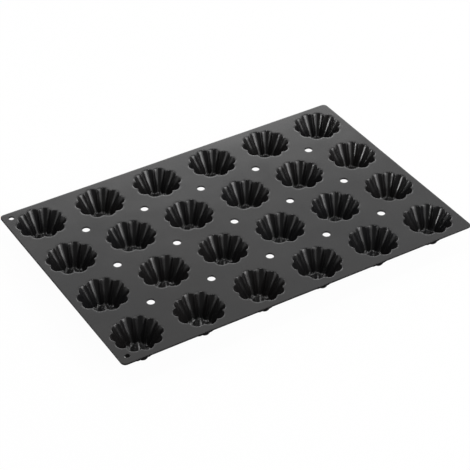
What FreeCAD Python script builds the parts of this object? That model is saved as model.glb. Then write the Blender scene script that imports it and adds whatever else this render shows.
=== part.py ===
import FreeCAD, Part
import math
import os
import Sketcher

# Silicone baking mould: one moulded sheet with rows of fluted round cups, open at the top.
# Frame: +X along the long side, +Y across, +Z up, origin under the middle of the sheet,
# on the plane that the cup bottoms stand on. All sizes are millimetres.

os.makedirs("parts", exist_ok=True)
doc = FreeCAD.newDocument("baking_mould")

SIZES = [
    ("sheet_length", 595, "long side of the sheet"),
    ("sheet_width", 397, "short side of the sheet"),
    ("sheet_thick", 2.4, "thickness of the flat sheet"),
    ("corner_radius", 9, "rounding of the four sheet corners, seen from above"),
    ("cups_long", 6, "cups in a row along the long side"),
    ("cups_wide", 4, "rows of cups"),
    ("cup_pitch", 100, "centre distance of neighbouring cups, both ways"),
    ("cup_depth", 34, "inside depth of a cup, from the sheet top to the cup floor"),
    ("cup_floor", 2, "thickness of a cup floor"),
    ("cup_wall", 2.4, "thickness of a cup side, measured level"),
    ("mouth_radius", 38.3, "inside radius of the cup mouth, over its lobes"),
    ("lobe_radius", 11.3, "radius of one lobe at the mouth, seen from above"),
    ("floor_radius", 18.6, "inside radius of the cup floor, over its lobes"),
    ("vent_diameter", 12, "round air hole midway between four cups"),
    ("hanger_diameter", 8, "hanging hole near a corner"),
    ("hanger_inset", 14, "hanging hole centre from each edge of the sheet"),
]

# Lobes round a cup, and the flat strips that make up one lobe inside and outside.
LOBES = 10
INNER_STRIPS = 5
OUTER_STRIPS = 4

sizes = doc.addObject("Spreadsheet::Sheet", "sizes")
for row, (alias, number, meaning) in enumerate(SIZES, start=1):
    sizes.set(f"A{row}", alias)
    sizes.set(f"B{row}", str(number))
    sizes.set(f"C{row}", meaning)
    sizes.setAlias(f"B{row}", alias)
doc.recompute()

# Levels of the sheet's faces and the place of the first cup, as formulas of the cells.
TOP = "(sizes.cup_floor + sizes.cup_depth)"
UNDERSIDE = f"({TOP} - sizes.sheet_thick)"
FIRST_X = "(-sizes.cup_pitch * (sizes.cups_long - 1) / 2)"
FIRST_Y = "(-sizes.cup_pitch * (sizes.cups_wide - 1) / 2)"


def value(formula):
    """The present value of a formula of the sheet's cells."""
    return float(sizes.evalExpression(formula))


def origin_part(body, role):
    """The plane or axis of the body's own origin that has this role."""
    return next(item for item in body.Origin.OriginFeatures if item.Role == role)


def level_sketch(body, name, height, x="0", y="0"):
    """A level sketch whose own origin stands at x, y and height, all formulas."""
    sketch = body.newObject("Sketcher::SketchObject", name)
    sketch.AttachmentSupport = [(origin_part(body, "XY_Plane"), "")]
    sketch.MapMode = "FlatFace"
    sketch.setExpression("AttachmentOffset.Base.x", f"{x} * 1mm")
    sketch.setExpression("AttachmentOffset.Base.y", f"{y} * 1mm")
    sketch.setExpression("AttachmentOffset.Base.z", f"{height} * 1mm")
    return sketch


def sheet_outline(body):
    """A rectangle about the middle, as long and as wide as the sheet."""
    sketch = level_sketch(body, "sheet_outline", UNDERSIDE)
    half_x = sizes.sheet_length / 2
    half_y = sizes.sheet_width / 2
    signs = [(-1, -1), (1, -1), (1, 1), (-1, 1)]
    corners = [FreeCAD.Vector(x * half_x, y * half_y, 0) for x, y in signs]
    for side in range(4):
        sketch.addGeometry(Part.LineSegment(corners[side], corners[(side + 1) % 4]), False)
    for side in range(4):
        sketch.addConstraint(Sketcher.Constraint("Coincident", side, 2, (side + 1) % 4, 1))
        sketch.addConstraint(Sketcher.Constraint("Vertical" if side % 2 else "Horizontal", side))
    sketch.addConstraint(Sketcher.Constraint("Symmetric", 0, 1, 1, 2, -1, 1))
    long_side = sketch.addConstraint(Sketcher.Constraint("DistanceX", 0, 1, 0, 2, 2 * half_x))
    short_side = sketch.addConstraint(Sketcher.Constraint("DistanceY", 1, 1, 1, 2, 2 * half_y))
    sketch.setExpression(f"Constraints[{long_side}]", "sizes.sheet_length * 1mm")
    sketch.setExpression(f"Constraints[{short_side}]", "sizes.sheet_width * 1mm")
    return sketch


def round_hole(body, name, x, y, diameter):
    """A round hole through the sheet at x, y."""
    sketch = level_sketch(body, f"{name}_circle", TOP, x, y)
    size = value(diameter)
    circle = Part.Circle(FreeCAD.Vector(0, 0, 0), FreeCAD.Vector(0, 0, 1), size / 2)
    sketch.addGeometry(circle, False)
    sketch.addConstraint(Sketcher.Constraint("Coincident", 0, 3, -1, 1))
    across = sketch.addConstraint(Sketcher.Constraint("Diameter", 0, size))
    sketch.setExpression(f"Constraints[{across}]", f"{diameter} * 1mm")
    pocket = body.newObject("PartDesign::Pocket", name)
    pocket.Profile = sketch
    pocket.setExpression("Length", "sizes.sheet_thick * 1mm")
    doc.recompute()
    return pocket


def flat_sheet():
    """The flat sheet, with rounded corners, air holes and hanging holes."""
    body = doc.addObject("PartDesign::Body", "flat_sheet")
    pad = body.newObject("PartDesign::Pad", "sheet_pad")
    pad.Profile = sheet_outline(body)
    pad.setExpression("Length", "sizes.sheet_thick * 1mm")
    doc.recompute()
    upright = [f"Edge{number}" for number, edge in enumerate(pad.Shape.Edges, start=1)
               if abs(edge.tangentAt(edge.FirstParameter).z) > 0.5]
    rounding = body.newObject("PartDesign::Fillet", "sheet_corners")
    rounding.Base = (pad, upright)
    rounding.setExpression("Radius", "sizes.corner_radius * 1mm")
    doc.recompute()

    # One air hole midway between each four cups.
    vent = round_hole(body, "vent", f"({FIRST_X} + sizes.cup_pitch / 2)",
                      f"({FIRST_Y} + sizes.cup_pitch / 2)", "sizes.vent_diameter")
    vents = body.newObject("PartDesign::MultiTransform", "vent_grid")
    vents.Originals = [vent]
    rows = []
    for role, count in (("X_Axis", "(sizes.cups_long - 1)"), ("Y_Axis", "(sizes.cups_wide - 1)")):
        line = doc.addObject("PartDesign::LinearPattern", f"vent_{role}")
        body.addObject(line)
        line.Direction = (origin_part(body, role), [""])
        line.setExpression("Occurrences", count)
        line.setExpression("Length", f"({count} - 1) * sizes.cup_pitch * 1mm")
        rows.append(line)
    vents.Transformations = rows
    body.Tip = vents
    doc.recompute()

    # Two hanging holes, by the corners of the short side at -X.
    hanger = round_hole(body, "hanger", "(sizes.hanger_inset - sizes.sheet_length / 2)",
                        "(sizes.sheet_width / 2 - sizes.hanger_inset)", "sizes.hanger_diameter")
    hangers = body.newObject("PartDesign::Mirrored", "hanger_pair")
    hangers.Originals = [hanger]
    hangers.MirrorPlane = (origin_part(body, "XZ_Plane"), [""])
    body.Tip = hangers
    doc.recompute()
    return body


def lobed_ring(radius, lobe, height, strips):
    """The corners of a ring of lobes that meet in inward points, one lobe towards +Y.

    radius is the distance from the axis to the crown of a lobe, lobe the radius of its
    round, and each round is cut into that many flat strips.
    """
    reach = radius - lobe
    half_turn = math.pi / LOBES
    half_sweep = half_turn + math.asin(reach * math.sin(half_turn) / lobe)
    corners = []
    for number in range(LOBES):
        turn = math.pi / 2 + 2 * number * half_turn
        for strip in range(strips):
            lean = turn + half_sweep * (2 * strip / strips - 1)
            corners.append(FreeCAD.Vector(reach * math.cos(turn) + lobe * math.cos(lean),
                                          reach * math.sin(turn) + lobe * math.sin(lean), height))
    return corners


def fluted_form(top_radius, top_lobe, top, bottom_radius, bottom, strips):
    """A closed fluted form, the same shape at every level and smaller towards the bottom,
    so that every strip is flat."""
    upper = lobed_ring(top_radius, top_lobe, top, strips)
    lower = lobed_ring(bottom_radius, top_lobe * bottom_radius / top_radius, bottom, strips)
    faces = [Part.Face(Part.makePolygon(ring + ring[:1])) for ring in (upper, lower)]
    for here in range(len(upper)):
        there = (here + 1) % len(upper)
        strip = [upper[here], upper[there], lower[there], lower[here], upper[here]]
        faces.append(Part.Face(Part.makePolygon(strip)))
    solid = Part.makeSolid(Part.makeShell(faces))
    if solid.Volume < 0:
        solid.reverse()
    return solid


def cup_grid(name, form):
    """One form at every cup's place, as an object of the document."""
    copies = []
    for column in range(int(sizes.cups_long)):
        for row in range(int(sizes.cups_wide)):
            copy = form.copy()
            copy.translate(FreeCAD.Vector(value(FIRST_X) + column * sizes.cup_pitch,
                                          value(FIRST_Y) + row * sizes.cup_pitch, 0))
            copies.append(copy)
    grid = doc.addObject("Part::Feature", name)
    grid.Shape = Part.makeCompound(copies)
    return grid


def cup_outsides():
    """The outer forms, which hang from the sheet's underside down to the standing plane."""
    # At the underside the inner side has run in by the sheet's share of the depth.
    run_in = 1 - (1 - sizes.floor_radius / sizes.mouth_radius) * sizes.sheet_thick / sizes.cup_depth
    return cup_grid("cup_outsides", fluted_form(
        sizes.mouth_radius * run_in + sizes.cup_wall, sizes.lobe_radius * run_in + sizes.cup_wall,
        value(UNDERSIDE), sizes.floor_radius + sizes.cup_wall, 0, OUTER_STRIPS))


def cup_insides():
    """The open insides, from the sheet top down to the cup floors."""
    return cup_grid("cup_insides", fluted_form(
        sizes.mouth_radius, sizes.lobe_radius, value(TOP),
        sizes.floor_radius, sizes.cup_floor, INNER_STRIPS))


filled = doc.addObject("Part::MultiFuse", "filled_mould")
filled.Shapes = [flat_sheet(), cup_outsides()]
filled.Refine = False
mould = doc.addObject("Part::Cut", "mould")
mould.Label = "mould"
mould.Base = filled
mould.Tool = cup_insides()
mould.Refine = False
doc.recompute()

for item in doc.Objects:
    faults = [word for word in item.State if word in ("Invalid", "Error")]
    if faults:
        raise RuntimeError(f"{item.Name} did not build: {faults}")

shape = mould.Shape
if shape.isNull() or not shape.isValid() or len(shape.Solids) != 1:
    raise RuntimeError(f"{mould.Label} is not one sound solid")

shape.exportStep(f"parts/{mould.Label}.step")
box = shape.BoundBox
print(f"{mould.Label}: {box.XLength:.2f} x {box.YLength:.2f} x {box.ZLength:.2f} mm, "
      f"{shape.Volume / 1000:.1f} cm3, {len(shape.Faces)} faces")
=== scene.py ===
import math
import bmesh
import bpy
from mathutils import Matrix, Vector, noise


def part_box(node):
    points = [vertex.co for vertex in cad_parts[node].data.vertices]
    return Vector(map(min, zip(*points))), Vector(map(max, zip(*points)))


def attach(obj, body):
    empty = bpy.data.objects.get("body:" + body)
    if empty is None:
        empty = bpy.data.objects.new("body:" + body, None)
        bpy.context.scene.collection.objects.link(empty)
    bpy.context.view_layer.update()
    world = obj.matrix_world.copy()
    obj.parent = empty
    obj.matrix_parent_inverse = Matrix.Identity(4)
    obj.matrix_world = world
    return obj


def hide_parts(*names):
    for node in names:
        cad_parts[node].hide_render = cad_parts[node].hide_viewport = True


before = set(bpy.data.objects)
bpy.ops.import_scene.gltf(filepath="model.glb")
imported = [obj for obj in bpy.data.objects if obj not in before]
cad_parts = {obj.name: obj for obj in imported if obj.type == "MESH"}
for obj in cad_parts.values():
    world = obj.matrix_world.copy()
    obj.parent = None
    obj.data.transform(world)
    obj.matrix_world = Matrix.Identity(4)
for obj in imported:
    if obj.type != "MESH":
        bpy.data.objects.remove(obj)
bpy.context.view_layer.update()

# Sizes in metres, in the frame of the solid mould: +X along the long side, +Z up.
MM = 0.001
HALF_LENGTH, HALF_WIDTH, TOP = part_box("mould")[1]
SHEET_THICK = 2.4 * MM
UNDERSIDE = TOP - SHEET_THICK
CORNER_RADIUS = 9 * MM
CORNER_SEGMENTS = 8
EDGE_ROUNDING = 0.25 * MM
EDGE_STEPS = 3

CUPS_LONG = 6
CUPS_WIDE = 4
PITCH = 100 * MM
LOBES = 10
CUP_FLOOR = TOP - 34 * MM
CUP_BOTTOM = CUP_FLOOR - 2 * MM
CUP_WALL = 1.4 * MM
MOUTH_RADIUS = 38.3 * MM
LOBE_RADIUS = 11.3 * MM
FLOOR_RADIUS = 18.6 * MM

# Roundings inside and outside a cup, at its mouth and at its floor, with the steps of each,
# and the rounding of the ridges. Inside the last radius the floor is one flat face.
INNER_MOUTH_ROUNDING, INNER_MOUTH_STEPS = 1.6 * MM, 4
INNER_FLOOR_ROUNDING, INNER_FLOOR_STEPS = 3.5 * MM, 4
OUTER_MOUTH_ROUNDING, OUTER_MOUTH_STEPS = 2 * MM, 1
OUTER_FLOOR_ROUNDING, OUTER_FLOOR_STEPS = 7 * MM, 3
RIDGE_ROUNDING = 1.4 * MM
INNER_LAST_RADIUS = 6 * MM
OUTER_LAST_RADIUS = 8 * MM

# Where a lobe has points, as shares of its half sweep, and a cup side, as shares of its depth.
LOBE_SHARES = (0.19, 0.37, 0.54, 0.70, 0.83, 0.93)
SIDE_SHARES = (0.14, 0.72)

VENT_RADIUS = 6 * MM
VENT_SEGMENTS = 40
HANGER_RADIUS = 4 * MM
HANGER_SEGMENTS = 32
HANGER_INSET = 14 * MM
HOLE_ROUNDING = 0.4 * MM

# The free part of the flat sheet is a fine grid, so that it can bend a little. It stays
# clear of the collar round each cup and of the smaller ones round the holes and the outline.
GRID_STEP = 5 * MM
COLLAR = 42 * MM
HOLE_COLLAR = 1.5 * MM
OUTLINE_COLLAR = 2 * MM
SAME_LEVEL = 0.1 * MM
SAME_PLACE = 0.01 * MM

# Two noises bend the sheet, by waves a metre and by where each noise starts.
WAVE_HEIGHT = 0.4 * MM
WAVE_PEAK = 0.78
WIDE_WAVES, WIDE_START = 7, 3.7
CLOSE_WAVES, CLOSE_START, CLOSE_SHARE = 19, 8.2, 0.45

# The camera, fitted to the air holes in the photograph.
LENS = 125.46
CAMERA_AZIMUTH = math.radians(-31.15)
CAMERA_HEIGHT_ANGLE = math.radians(37.31)
CAMERA_ROLL = math.radians(-0.431)
CAMERA_DISTANCE = 2.4453
CAMERA_TARGET = Vector((-0.0175, -0.0302, TOP - WAVE_HEIGHT * WAVE_PEAK))

# The floor: its colour for the camera and where the object mirrors it, and how much of it
# is plain white for the camera.
FLOOR_HALF_SIDE = 4
FLOOR_GAP = 0.3 * MM
SEEN_FLOOR = (0.9, 0.9, 0.9, 1)
MIRRORED_FLOOR = (0.1, 0.1, 0.1, 1)
FLOOR_WHITE_SHARE = 0.97

# The studio round it: its level for plain light, and for gloss its levels away from and
# towards the bright side, which is the one across from the camera.
PLAIN_LEVEL = 0.16
BRIGHT_SIDE = Vector((0.50, 0.84, 0.1))
DIM_LEVEL = 0.16
BRIGHT_LEVEL = 1.24

# Lamps that face the middle of the sheet: azimuth and height angle in degrees, distance,
# width and height in metres, and glow. The last lamp also has the angle of its beam.
LAMPS = {
    "front_right": (308, 29, 4, 3.2, 2.2, 5.1),
    "front": (289, 31, 4, 4.2, 2.2, 1.6),
    "left": (172, 30, 4, 2.8, 2.4, 1.5),
    "left_low": (168, 7, 4, 3.6, 0.9, 0.5),
    "overhead": (59, 83, 2, 0.25, 0.25, 36),
    "far": (70, 23, 3, 2.7, 1.06, 1.45),
    "far_low": (57, 10, 3, 4, 0.6, 4),
    "far_right": (0, 50, 2, 0.6, 0.6, 8),
    "far_left": (118, 50, 2, 0.6, 0.6, 8),
}
RIGHT_END_LAMP = (181, 20, 0.4, 0.1, 0.06, 0.13, 11)
RIGHT_END_AIM = Vector((28 * MM, 12 * MM, TOP))


def cup_centres():
    """The axis of every cup."""
    return [Vector(((column - (CUPS_LONG - 1) / 2) * PITCH, (row - (CUPS_WIDE - 1) / 2) * PITCH, 0))
            for column in range(CUPS_LONG) for row in range(CUPS_WIDE)]


def vent_centres():
    """The air holes, midway between each four cups."""
    return [Vector(((column - (CUPS_LONG - 2) / 2) * PITCH, (row - (CUPS_WIDE - 2) / 2) * PITCH, 0))
            for column in range(CUPS_LONG - 1) for row in range(CUPS_WIDE - 1)]


def hanger_centres():
    """The hanging holes, by the corners of the short side at -X."""
    x = HANGER_INSET - HALF_LENGTH
    y = HALF_WIDTH - HANGER_INSET
    return [Vector((x, -y, 0)), Vector((x, y, 0))]


def lobe_turns():
    """Angles round a cup, closer together towards the ridges between the lobes."""
    reach = MOUTH_RADIUS - LOBE_RADIUS
    half_turn = math.pi / LOBES
    half_sweep = half_turn + math.asin(reach * math.sin(half_turn) / LOBE_RADIUS)
    side = []
    for share in LOBE_SHARES:
        lean = half_sweep * share
        side.append(math.atan2(LOBE_RADIUS * math.sin(lean), reach + LOBE_RADIUS * math.cos(lean)))
    lobe = [-half_turn] + [-turn for turn in reversed(side)] + [0] + side
    return [math.pi / 2 + 2 * half_turn * number + turn for number in range(LOBES) for turn in lobe]


def fluted_radius(angle, crown, lobe):
    """How far the ring of lobes lies from its axis at this angle, with rounded ridges."""
    reach = crown - lobe
    step = 2 * math.pi / LOBES
    off = (angle - math.pi / 2) % step
    arms = []
    for turn in (off, step - off):
        inside = max(lobe ** 2 - (reach * math.sin(turn)) ** 2, 0)
        arms.append(reach * math.cos(turn) + math.sqrt(inside))
    overlap = max(RIDGE_ROUNDING - abs(arms[0] - arms[1]), 0) / RIDGE_ROUNDING
    return max(arms) + overlap ** 2 * RIDGE_ROUNDING / 4


def rounded_path(corners):
    """Points along a path of (distance, height, rounding, steps) corners."""
    path = [Vector(corners[0][:2])]
    for before, here, after in zip(corners, corners[1:], corners[2:]):
        point = Vector(here[:2])
        rounding, steps = here[2:]
        if not rounding:
            path.append(point)
            continue
        back = (Vector(before[:2]) - point).normalized()
        ahead = (Vector(after[:2]) - point).normalized()
        bend = math.pi - back.angle(ahead)
        tangent = rounding * math.tan(bend / 2)
        centre = point + (back + ahead).normalized() * rounding / math.cos(bend / 2)
        first = point + back * tangent - centre
        last = point + ahead * tangent - centre
        for step in range(steps + 1):
            share = step / steps
            arm = first * math.sin((1 - share) * bend) + last * math.sin(share * bend)
            path.append(centre + arm / math.sin(bend))
    path.append(Vector(corners[-1][:2]))
    return path


def side_path(mouth, floor, end):
    """The section of one cup side, from the flat sheet down to the flat floor.

    mouth and floor are (distance, height, rounding, steps) corners, and end is the distance
    at which it stops.
    """
    corners = [(COLLAR, mouth[1]), mouth]
    for share in SIDE_SHARES:
        corners.append((mouth[0] + (floor[0] - mouth[0]) * share,
                        mouth[1] + (floor[1] - mouth[1]) * share, 0, 0))
    corners += [floor, (end, floor[1])]
    return rounded_path(corners)


def loop_edges(verts):
    """The edges that join these vertices."""
    return list(dict.fromkeys(edge for vert in verts for edge in vert.link_edges))


def draw_on(bm, edges, centre, sizes):
    """Carry a closed loop on through (x size, y size, height) steps, leaving a wall behind it."""
    space = Matrix.Translation((-centre.x, -centre.y, 0))
    for here, after in zip(sizes, sizes[1:]):
        made = bmesh.ops.extrude_edge_only(bm, edges=edges)["geom"]
        moved = [item for item in made if isinstance(item, bmesh.types.BMVert)]
        edges = [item for item in made
                 if isinstance(item, bmesh.types.BMEdge) and len(item.link_faces) == 1]
        bmesh.ops.scale(bm, vec=(after[0] / here[0], after[1] / here[1], 1), space=space, verts=moved)
        bmesh.ops.translate(bm, vec=(0, 0, after[2] - here[2]), verts=moved)
    return edges


def round_ring(bm, centre, radius, height, segments):
    """A loop of edges on a circle."""
    place = Matrix.Translation((centre.x, centre.y, height))
    made = bmesh.ops.create_circle(bm, cap_ends=False, radius=radius, segments=segments, matrix=place)
    return made["verts"]


def draw_cup(bm, crown, lobe, path):
    """One fluted cup surface about the Z axis, from its collar on the sheet to its closed floor."""
    axis = Vector((0, 0, 0))
    turns = lobe_turns()
    height = path[0].y
    verts = round_ring(bm, axis, crown, height, len(turns))
    for vert, turn in zip(verts, turns):
        radius = fluted_radius(turn, crown, lobe) * path[0].x / crown
        vert.co = Vector((radius * math.cos(turn), radius * math.sin(turn), height))
    sizes = [(point.x, point.x, point.y) for point in path]
    last = draw_on(bm, loop_edges(verts), axis, sizes)
    bmesh.ops.contextual_create(bm, geom=last)


def fluted_cup():
    """The inner and the outer surface of one cup about the Z axis."""
    run_in = 1 - (1 - FLOOR_RADIUS / MOUTH_RADIUS) * SHEET_THICK / (TOP - CUP_FLOOR)
    inner = side_path((MOUTH_RADIUS, TOP, INNER_MOUTH_ROUNDING, INNER_MOUTH_STEPS),
                      (FLOOR_RADIUS, CUP_FLOOR, INNER_FLOOR_ROUNDING, INNER_FLOOR_STEPS),
                      INNER_LAST_RADIUS)
    outer_crown = MOUTH_RADIUS * run_in + CUP_WALL
    outer_lobe = LOBE_RADIUS * run_in + CUP_WALL
    outer_floor = FLOOR_RADIUS + CUP_WALL
    outer = side_path((outer_crown, UNDERSIDE, OUTER_MOUTH_ROUNDING, OUTER_MOUTH_STEPS),
                      (outer_floor, CUP_BOTTOM, OUTER_FLOOR_ROUNDING, OUTER_FLOOR_STEPS),
                      OUTER_LAST_RADIUS)
    bm = bmesh.new()
    draw_cup(bm, MOUTH_RADIUS, LOBE_RADIUS, inner)
    draw_cup(bm, outer_crown, outer_lobe, outer)
    mesh = bpy.data.meshes.new("fluted_cup")
    bm.to_mesh(mesh)
    bm.free()
    return mesh


def rectangle(height, length, width):
    """Place and size of a one-metre square for a level rectangle."""
    return Matrix.Translation((0, 0, height)) @ Matrix.Diagonal((length, width, 1, 1))


def flat_face(bm, height):
    """The upper or lower face of the flat sheet, open at its outline, cups and holes.

    The loops that bound it are there already.
    """
    columns = (int(HALF_LENGTH / GRID_STEP) - 1) * 2
    rows = (int(HALF_WIDTH / GRID_STEP) - 1) * 2
    made = bmesh.ops.create_grid(bm, x_segments=columns, y_segments=rows, size=0.5,
                                 matrix=rectangle(height, columns * GRID_STEP, rows * GRID_STEP))
    holes = [(centre, COLLAR + 1 * MM) for centre in cup_centres()]
    holes += [(centre, VENT_RADIUS + 2 * HOLE_COLLAR) for centre in vent_centres()]
    holes += [(centre, HANGER_RADIUS + 2 * HOLE_COLLAR) for centre in hanger_centres()]
    gone = [vert for vert in made["verts"]
            if any((vert.co.xy - centre.xy).length < reach for centre, reach in holes)]
    gone_faces = list(dict.fromkeys(face for vert in gone for face in vert.link_faces))
    bmesh.ops.delete(bm, geom=gone_faces, context="FACES")
    open_edges = [edge for edge in bm.edges if len(edge.link_faces) < 2
                  and all(abs(vert.co.z - height) < SAME_LEVEL for vert in edge.verts)]
    bmesh.ops.triangle_fill(bm, use_beauty=True, use_dissolve=False, edges=open_edges,
                            normal=Vector((0, 0, 1)))


def sheet_outline(bm):
    """The loop of the sheet's outline on its top, a little inside the rounded edge."""
    place = rectangle(TOP, 2 * (HALF_LENGTH - OUTLINE_COLLAR), 2 * (HALF_WIDTH - OUTLINE_COLLAR))
    corners = bmesh.ops.create_grid(bm, x_segments=1, y_segments=1, size=0.5, matrix=place)["verts"]
    bmesh.ops.bevel(bm, geom=corners, offset=CORNER_RADIUS - OUTLINE_COLLAR,
                    segments=CORNER_SEGMENTS, profile=0.5, affect="VERTICES", material=-1)
    outline = next(iter(bm.faces))
    for edge in [edge for edge in outline.edges if edge.calc_length() > 10 * GRID_STEP]:
        cuts = round(edge.calc_length() / GRID_STEP / 2) - 1
        bmesh.ops.subdivide_edges(bm, edges=[edge], cuts=cuts)
    bmesh.ops.delete(bm, geom=list(bm.faces), context="FACES_ONLY")
    return list(bm.edges)


def edge_path(inset, rounding):
    """The section of an outer edge or of a hole's edge, from the sheet's top to its underside."""
    return rounded_path([(inset, TOP), (0, TOP, rounding, EDGE_STEPS),
                         (0, UNDERSIDE, rounding, EDGE_STEPS), (inset, UNDERSIDE)])


def slow_wave(place):
    """How far the flexible sheet hangs here below its highest place."""
    wide = noise.noise(Vector((place.x * WIDE_WAVES, place.y * WIDE_WAVES, WIDE_START)))
    close = noise.noise(Vector((place.x * CLOSE_WAVES, place.y * CLOSE_WAVES, CLOSE_START)))
    return WAVE_HEIGHT * (wide + CLOSE_SHARE * close - WAVE_PEAK)


def build_mould():
    """The whole mould as one closed silicone skin."""
    bm = bmesh.new()

    # The outline goes over the sheet's edge, from its top to its underside.
    edges = sheet_outline(bm)
    sizes = [(HALF_LENGTH - point.x, HALF_WIDTH - point.x, point.y)
             for point in edge_path(OUTLINE_COLLAR, EDGE_ROUNDING)]
    draw_on(bm, edges, Vector((0, 0, 0)), sizes)

    # Air holes and hanging holes go right through.
    round_holes = [(centre, VENT_RADIUS, VENT_SEGMENTS) for centre in vent_centres()]
    round_holes += [(centre, HANGER_RADIUS, HANGER_SEGMENTS) for centre in hanger_centres()]
    path = edge_path(HOLE_COLLAR, HOLE_ROUNDING)
    for centre, radius, segments in round_holes:
        sizes = [(radius + point.x, radius + point.x, point.y) for point in path]
        verts = round_ring(bm, centre, sizes[0][0], TOP, segments)
        draw_on(bm, loop_edges(verts), centre, sizes)

    # Every cup is the same.
    cup = fluted_cup()
    for centre in cup_centres():
        first = len(bm.verts)
        bm.from_mesh(cup)
        bm.verts.ensure_lookup_table()
        bmesh.ops.translate(bm, vec=centre, verts=bm.verts[first:])
    bpy.data.meshes.remove(cup)

    flat_face(bm, TOP)
    flat_face(bm, UNDERSIDE)
    bmesh.ops.remove_doubles(bm, verts=bm.verts, dist=SAME_PLACE)
    bmesh.ops.recalc_face_normals(bm, faces=bm.faces)

    # The sheet bends a little, while the cup floors stay on the table.
    for vert in bm.verts:
        share = min(max((vert.co.z - CUP_BOTTOM) / (TOP - CUP_BOTTOM), 0), 1)
        vert.co.z += slow_wave(vert.co) * share ** 2 * (3 - 2 * share)
    for face in bm.faces:
        face.smooth = True

    mesh = bpy.data.meshes.new("silicone_mould")
    bm.to_mesh(mesh)
    bm.free()
    piece = bpy.data.objects.new("silicone_mould", mesh)
    bpy.context.scene.collection.objects.link(piece)
    return piece


def new_material(name):
    """An empty node material and its node tree."""
    material = bpy.data.materials.new(name)
    material.use_nodes = True
    material.node_tree.nodes.clear()
    return material, material.node_tree


def node(tree, kind, **settings):
    """A node of this kind, with its settings."""
    made = tree.nodes.new(kind)
    for name, setting in settings.items():
        setattr(made, name, setting)
    return made


def noise_node(tree, place, scale, detail, roughness):
    """Noise over the object's own coordinates."""
    made = node(tree, "ShaderNodeTexNoise")
    made.inputs["Scale"].default_value = scale
    made.inputs["Detail"].default_value = detail
    made.inputs["Roughness"].default_value = roughness
    tree.links.new(place, made.inputs["Vector"])
    return made.outputs["Fac"]


def spread(tree, value, low, high, to_low, to_high):
    """The value carried from one range to another."""
    made = node(tree, "ShaderNodeMapRange")
    for name, number in (("From Min", low), ("From Max", high), ("To Min", to_low), ("To Max", to_high)):
        made.inputs[name].default_value = number
    tree.links.new(value, made.inputs["Value"])
    return made.outputs["Result"]


def silicone():
    """Satin near-black silicone, a little uneven in tone and gloss, with a fine moulded grain."""
    material, tree = new_material("dark_silicone")
    links = tree.links
    place = node(tree, "ShaderNodeTexCoord").outputs["Object"]
    surface = node(tree, "ShaderNodeBsdfPrincipled")
    surface.inputs["IOR"].default_value = 1.45
    surface.inputs["Metallic"].default_value = 0

    # Broad patches, some warmer and some cooler.
    patches = noise_node(tree, place, 9, 3, 0.55)
    tone = node(tree, "ShaderNodeMix", data_type="RGBA")
    tone.inputs["A"].default_value = (0.0068, 0.0061, 0.0061, 1)
    tone.inputs["B"].default_value = (0.0055, 0.0055, 0.0061, 1)
    links.new(spread(tree, patches, 0.35, 0.65, 0, 1), tone.inputs["Factor"])
    links.new(tone.outputs["Result"], surface.inputs["Base Color"])

    # Gloss changes slowly where the sheet was handled and quickly with the mould's grain.
    gloss = noise_node(tree, place, 26, 4, 0.6)
    links.new(spread(tree, gloss, 0.3, 0.7, 0.16, 0.21), surface.inputs["Roughness"])

    grain = noise_node(tree, place, 900, 2, 0.5)
    ripple = noise_node(tree, place, 60, 2, 0.5)
    bumps = node(tree, "ShaderNodeMath", operation="MULTIPLY_ADD")
    bumps.inputs[1].default_value = 0.05
    links.new(grain, bumps.inputs[0])
    links.new(ripple, bumps.inputs[2])
    bump = node(tree, "ShaderNodeBump")
    bump.inputs["Strength"].default_value = 0.25
    bump.inputs["Distance"].default_value = 0.1 * MM
    links.new(bumps.outputs["Value"], bump.inputs["Height"])
    links.new(bump.outputs["Normal"], surface.inputs["Normal"])

    output = node(tree, "ShaderNodeOutputMaterial")
    links.new(surface.outputs["BSDF"], output.inputs["Surface"])
    return material


def pale_floor():
    """The floor: white with a little of the object's shadow, but dim where the object mirrors it."""
    material, tree = new_material("pale_floor")
    links = tree.links
    seen = node(tree, "ShaderNodeLightPath").outputs["Is Camera Ray"]
    shade = node(tree, "ShaderNodeMix", data_type="RGBA")
    shade.inputs["A"].default_value = MIRRORED_FLOOR
    shade.inputs["B"].default_value = SEEN_FLOOR
    links.new(seen, shade.inputs["Factor"])
    paint = node(tree, "ShaderNodeBsdfDiffuse")
    links.new(shade.outputs["Result"], paint.inputs["Color"])
    glow = node(tree, "ShaderNodeEmission")
    glow.inputs["Strength"].default_value = 1
    lit = node(tree, "ShaderNodeMath", operation="MULTIPLY")
    lit.inputs[1].default_value = FLOOR_WHITE_SHARE
    links.new(seen, lit.inputs[0])
    mixed = node(tree, "ShaderNodeMixShader")
    links.new(lit.outputs["Value"], mixed.inputs["Fac"])
    links.new(paint.outputs["BSDF"], mixed.inputs[1])
    links.new(glow.outputs["Emission"], mixed.inputs[2])
    output = node(tree, "ShaderNodeOutputMaterial")
    links.new(mixed.outputs["Shader"], output.inputs["Surface"])

    bm = bmesh.new()
    bmesh.ops.create_grid(bm, x_segments=1, y_segments=1, size=FLOOR_HALF_SIDE,
                          matrix=Matrix.Translation((0, 0, CUP_BOTTOM - FLOOR_GAP)))
    mesh = bpy.data.meshes.new("floor")
    bm.to_mesh(mesh)
    bm.free()
    mesh.materials.append(material)
    floor = bpy.data.objects.new("floor", mesh)
    bpy.context.scene.collection.objects.link(floor)


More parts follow.
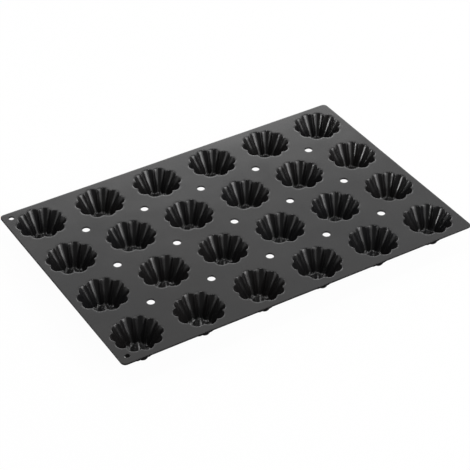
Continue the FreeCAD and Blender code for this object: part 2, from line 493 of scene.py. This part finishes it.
def studio_world():
    """White for the camera, plain level light, and for gloss a studio that is bright at its far side."""
    world = bpy.data.worlds.new("studio")
    world.use_nodes = True
    bpy.context.scene.world = world
    tree = world.node_tree
    tree.nodes.clear()
    links = tree.links
    way = node(tree, "ShaderNodeTexCoord").outputs["Generated"]
    towards = node(tree, "ShaderNodeVectorMath", operation="DOT_PRODUCT")
    towards.inputs[1].default_value = BRIGHT_SIDE.normalized()
    links.new(way, towards.inputs[0])
    side = spread(tree, towards.outputs["Value"], 0.1, 0.95, DIM_LEVEL, BRIGHT_LEVEL)

    path = node(tree, "ShaderNodeLightPath")
    gloss = node(tree, "ShaderNodeMix", data_type="FLOAT")
    gloss.inputs["A"].default_value = PLAIN_LEVEL
    links.new(path.outputs["Is Glossy Ray"], gloss.inputs["Factor"])
    links.new(side, gloss.inputs["B"])
    seen = node(tree, "ShaderNodeMath", operation="MAXIMUM")
    links.new(path.outputs["Is Camera Ray"], seen.inputs[0])
    links.new(path.outputs["Is Transmission Ray"], seen.inputs[1])
    level = node(tree, "ShaderNodeMix", data_type="FLOAT")
    level.inputs["B"].default_value = 1
    links.new(seen.outputs["Value"], level.inputs["Factor"])
    links.new(gloss.outputs["Result"], level.inputs["A"])

    background = node(tree, "ShaderNodeBackground")
    background.inputs["Color"].default_value = (1, 1, 1, 1)
    links.new(level.outputs["Result"], background.inputs["Strength"])
    output = node(tree, "ShaderNodeOutputWorld")
    links.new(background.outputs["Background"], output.inputs["Surface"])


def soft_lamp(name, aim, azimuth, height_angle, distance, width, height, glow, spread_angle=180):
    """An area lamp that faces this point from this side, as bright as glow times white."""
    lamp = bpy.data.lights.new(name, "AREA")
    lamp.shape = "ELLIPSE"
    lamp.size = width
    lamp.size_y = height
    lamp.energy = glow * math.pi * width * height * math.pi / 4
    lamp.spread = math.radians(spread_angle)
    holder = bpy.data.objects.new(name, lamp)
    bpy.context.scene.collection.objects.link(holder)
    turn = math.radians(azimuth)
    lift = math.radians(height_angle)
    way = Vector((math.cos(lift) * math.cos(turn), math.cos(lift) * math.sin(turn), math.sin(lift)))
    holder.location = aim + way * distance
    holder.rotation_euler = way.to_track_quat("Z", "Y").to_euler()


def studio_camera():
    """The camera, at the photograph's place and angle."""
    lens = bpy.data.cameras.new("camera")
    lens.lens = LENS
    lens.sensor_width = 36
    camera = bpy.data.objects.new("camera", lens)
    bpy.context.scene.collection.objects.link(camera)
    back = Vector((math.sin(CAMERA_AZIMUTH) * math.cos(CAMERA_HEIGHT_ANGLE),
                   -math.cos(CAMERA_AZIMUTH) * math.cos(CAMERA_HEIGHT_ANGLE),
                   math.sin(CAMERA_HEIGHT_ANGLE)))
    right = Vector((0, 0, 1)).cross(back).normalized()
    up = back.cross(right)
    turned = Matrix((right, up, back)).transposed() @ Matrix.Rotation(CAMERA_ROLL, 3, "Z")
    camera.matrix_world = Matrix.Translation(CAMERA_TARGET + back * CAMERA_DISTANCE) @ turned.to_4x4()
    bpy.context.scene.camera = camera


piece = build_mould()
piece.data.materials.append(silicone())
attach(piece, "root")
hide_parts("mould")

pale_floor()
studio_world()
for name, numbers in LAMPS.items():
    soft_lamp(name, Vector((0, 0, TOP)), *numbers)
# The last cup of every row has its own small bright streak.
for centre in cup_centres()[-CUPS_WIDE:]:
    soft_lamp("right_end", centre + RIGHT_END_AIM, *RIGHT_END_LAMP)
studio_camera()

scene = bpy.context.scene
scene.view_settings.view_transform = "Standard"
